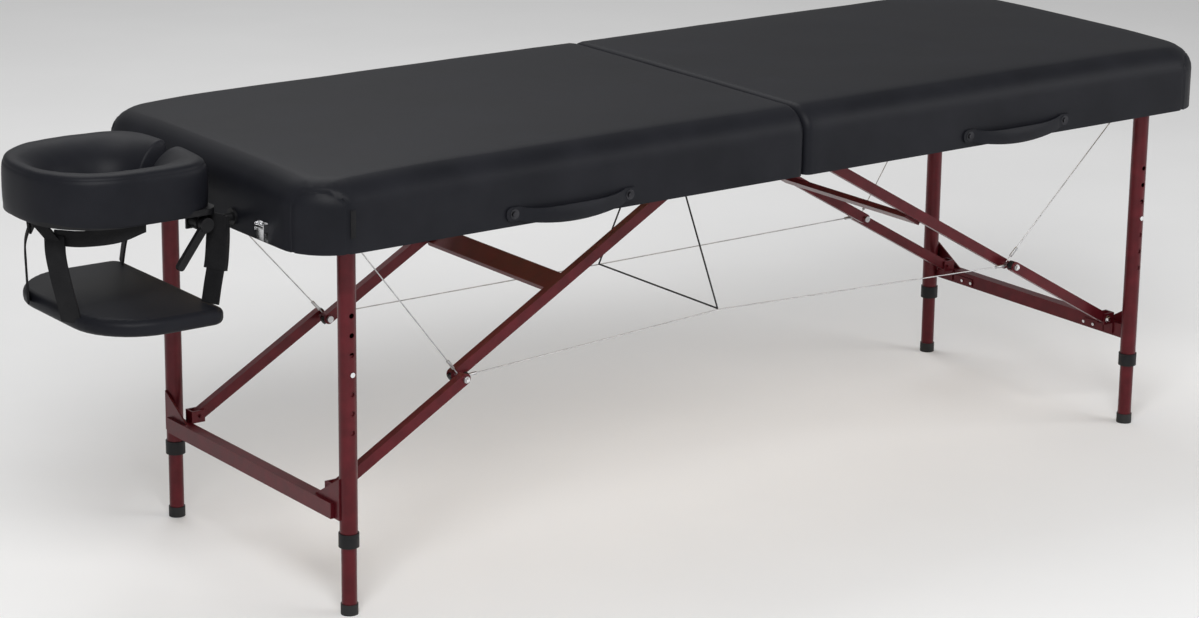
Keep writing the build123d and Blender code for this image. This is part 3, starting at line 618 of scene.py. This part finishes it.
for side, label in ((-1, "near"), (1, "far")):
    front_tangent = (0.45, side * 0.89, 0)
    rear_tangent = (REAR_TANGENT[0], side * REAR_TANGENT[1], 0)
    for part, route, axis, width in (
        ("rear_strap", REAR_ROUTE, rear_tangent, REAR_STRAP_WIDTH),
        ("front_strap", FRONT_ROUTE, front_tangent, FRONT_STRAP_WIDTH),
        ("side_fork", SIDE_FORK_ROUTE, (0, 0, 1), 0.024),
        ("front_fork", FRONT_FORK_ROUTE, front_tangent, 0.028),
    ):
        strap_pieces.append(
            make_strip(
                f"{part}_{label}", strap_points(side, route), axis, width, STRAP_THICK, "webbing",
                "cradle",
            )
        )
    strap_pieces.append(
        make_strip(
            f"rear_sleeve_{label}", strap_points(side, SLEEVE_ROUTE), rear_tangent, SLEEVE_WIDTH,
            SLEEVE_THICK, "webbing", "cradle",
        )
    )
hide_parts("shelf_rear_straps")
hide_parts("shelf_front_straps")
for strap in strap_pieces:
    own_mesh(strap)

# %% [markdown]
# ## Cables
# Thin wire ropes run from each knee to the leg pivot and from knee to knee, and a dark cord gathers
# the long ones towards the hinge.  They go slack when the legs fold.

# %% Cables
CABLE_RADIUS = 0.0010
CORD_RADIUS = 0.0015
STAY_SLACK_Z = 0.622
LONG_SLACK_Z = 0.576


def make_line(name, runs, radius, slot, end, replaced):
    """Round lines between pairs of points, as one piece."""
    bm = bmesh.new()
    for start, stop in runs:
        start, stop = Vector(start), Vector(stop)
        run = stop - start
        ring = bmesh.ops.create_circle(
            bm, cap_ends=True, segments=10, radius=radius,
            matrix=Matrix.Translation(start) @ run.to_track_quat("Z", "Y").to_matrix().to_4x4(),
        )["verts"]
        face = next(f for f in ring[0].link_faces)
        for _ in range(8):
            grown = bmesh.ops.extrude_face_region(bm, geom=[face])["geom"]
            face = next(g for g in grown if isinstance(g, bmesh.types.BMFace))
            bmesh.ops.translate(bm, verts=face.verts[:], vec=run / 8)
    line = finish_piece(bm, name, slot, f"{end}_half", replaced)
    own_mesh(line)


KNEE_REACH = 0.58245
KNEE_Z = 0.31824
PIVOT_REACH = 0.824
PIVOT_CABLE_Z = 0.607
MIDDLE_SHIFT = 0.042
MIDDLE_Z = 0.330
STAY_RISE = 0.004
STAY_KNEE_Y = 0.196
STAY_PIVOT_Y = 0.2445
LONG_KNEE_Y = 0.205
LONG_MIDDLE_Y = 0.168
CORD_LOW_Z = 0.3315
CORD_TOP_Z = 0.636
CORD_SIDE_Y = 0.166
CORD_TOP_Y = 0.006
for end, outward in (("head", -1), ("foot", 1)):
    knee_x = HINGE_X + outward * KNEE_REACH
    pivot_x = HINGE_X + outward * PIVOT_REACH
    middle_x = HINGE_X - MIDDLE_SHIFT
    stays = [
        ((knee_x, s * STAY_KNEE_Y, KNEE_Z + STAY_RISE), (pivot_x, s * STAY_PIVOT_Y, PIVOT_CABLE_Z))
        for s in (-1, 1)
    ]
    long_runs = [
        ((knee_x, s * LONG_KNEE_Y, KNEE_Z), (middle_x, s * LONG_MIDDLE_Y, MIDDLE_Z)) for s in (-1, 1)
    ]
    make_line(f"{end}_stays", stays, CABLE_RADIUS, "steel", end, (f"{end}_stay_cables",))
    make_line(
        f"{end}_long_cables", long_runs, CABLE_RADIUS, "steel", end, (f"{end}_knee_cables",),
    )
cord_x = HINGE_X - MIDDLE_SHIFT
cord_runs = [
    ((cord_x, -CORD_TOP_Y, CORD_TOP_Z), (cord_x, -CORD_SIDE_Y, CORD_LOW_Z)),
    ((cord_x, CORD_SIDE_Y, CORD_LOW_Z), (cord_x, CORD_TOP_Y, CORD_TOP_Z)),
    ((cord_x, -CORD_SIDE_Y, CORD_LOW_Z), (cord_x, CORD_SIDE_Y, CORD_LOW_Z)),
]
make_line("gathering_cord", cord_runs, CORD_RADIUS, "cord", "head", ("lift_cord",))

# %% [markdown]
# ## Small fittings
# Bolt heads, plugs in the tube ends and crimps on the cables are what make the linkage read as
# metalwork.  One helper makes a short round piece with bevelled rims, and loops place it.

# %% Small fittings
def add_disc(bm, centre, direction, radius, depth, rim=0.0006, segments=24):
    """A short bevelled cylinder that starts at centre and runs along direction."""
    direction = Vector(direction).normalized()
    place = Matrix.Translation(Vector(centre) + direction * depth / 2)
    before = set(bm.verts)
    bmesh.ops.create_cone(
        bm, cap_ends=True, segments=segments, radius1=radius, radius2=radius, depth=depth,
        matrix=place @ direction.to_track_quat("Z", "Y").to_matrix().to_4x4(),
    )
    made = set(bm.verts) - before
    rims = {e for v in made for e in v.link_edges if any(len(f.verts) > 4 for f in e.link_faces)}
    bmesh.ops.bevel(
        bm, geom=list(rims), offset=rim, offset_type="OFFSET", segments=2, profile=0.5,
        affect="EDGES", material=-1,
    )


for end, outward in (("head", -1), ("foot", 1)):
    bolts = bmesh.new()
    for side in (-1, 1):
        washer = Vector((HINGE_X + outward * 0.814, side * 0.2255, 0.186))
        add_disc(bolts, washer, (0, side, 0), 0.0065, 0.0012)
        add_disc(bolts, washer + Vector((0, side * 0.001, 0)), (0, side, 0), 0.0045, 0.0035, 0.0006, 6)
    finish_piece(bolts, f"{end}_brace_bolts", "chrome", f"{end}_legs")
    knee = bmesh.new()
    for side in (-1, 1):
        add_disc(knee, (HINGE_X + outward * KNEE_REACH, side * 0.225, KNEE_Z), (0, side, 0), 0.0035, 0.003)
    finish_piece(knee, f"{end}_knee_caps", "chrome", f"{end}_lower_links")

# %% [markdown]
# ## Crimps, plugs and rivets
# A crimp holds the loop at each cable's knee end.  Black plugs close
# the brace tubes, and rivets hold the two plates on the foot crossbar.

# %% Cable crimps, end plugs and the foot crossbar's rivets
BRACE_SLOPE = math.atan2(0.442, 0.774)
for end, outward in (("head", -1), ("foot", 1)):
    knee_point = Vector((HINGE_X + outward * KNEE_REACH, 0, KNEE_Z))
    pivot_point = Vector((HINGE_X + outward * PIVOT_REACH, 0, PIVOT_CABLE_Z))
    middle_point = Vector((HINGE_X - MIDDLE_SHIFT, 0, MIDDLE_Z))
    for kind, start, start_y, goal, goal_y, slack_z in (
        (
            "stay", knee_point + Vector((0, 0, STAY_RISE)), STAY_KNEE_Y, pivot_point, STAY_PIVOT_Y,
            STAY_SLACK_Z,
        ),
        ("long", knee_point, LONG_KNEE_Y, middle_point, LONG_MIDDLE_Y, LONG_SLACK_Z),
    ):
        crimps = bmesh.new()
        for side in (-1, 1):
            a = start + Vector((0, side * start_y, 0))
            run = (goal + Vector((0, side * goal_y, 0)) - a).normalized()
            add_disc(crimps, a + run * 0.012, run, 0.0026, 0.020, 0.0008, 12)
        crimp_piece = finish_piece(crimps, f"{end}_{kind}_crimps", "steel", f"{end}_half")
        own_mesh(crimp_piece)
    plugs = {"lower": bmesh.new(), "upper": bmesh.new()}
    slope = Vector((-outward * math.cos(BRACE_SLOPE), 0, math.sin(BRACE_SLOPE)))
    for side in (-1, 1):
        for part, y, along in (("lower", 0.214, slope), ("upper", 0.187, -slope)):
            mouth = knee_point + Vector((0, side * y, 0)) + along * 0.0045
            add_disc(plugs[part], mouth, along, 0.0062, 0.0055, 0.001)
    finish_piece(plugs["lower"], f"{end}_lower_plugs", "black_plastic", f"{end}_lower_links")
    finish_piece(plugs["upper"], f"{end}_upper_plugs", "black_plastic", f"{end}_upper_links")

RIVET_X = HINGE_X + 0.828 - 0.0002
RIVET_Z = 0.162
RIVET_YS = (0.152, 0.176)
rivets = bmesh.new()
for side in (-1, 1):
    for y in RIVET_YS:
        add_disc(rivets, (RIVET_X, side * y, RIVET_Z), (-1, 0, 0), 0.003, 0.0022, 0.0006, 16)
finish_piece(rivets, "plate_rivets", "chrome", "foot_legs")

# %% [markdown]
# ## A blank tag
# A small folded tag is sewn in beside the corner patch.  It is left plain.

# %% Sewn tag
TAG_WIDTH = 0.009
TAG_HEIGHTS = (0.610, 0.652)
skirt_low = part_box("head_skirt")[0]
tag_x = skirt_low[0] + PATCH_SIDE + 0.001
tag = box_mesh(
    (tag_x, skirt_low[1] - 0.0018, TAG_HEIGHTS[0]),
    (tag_x + TAG_WIDTH, skirt_low[1] - 0.0006, TAG_HEIGHTS[1]),
)
round_edges(tag, lambda a, b: True, 0.0004, 2)
finish_piece(tag, "blank_tag", "webbing", "head_half")
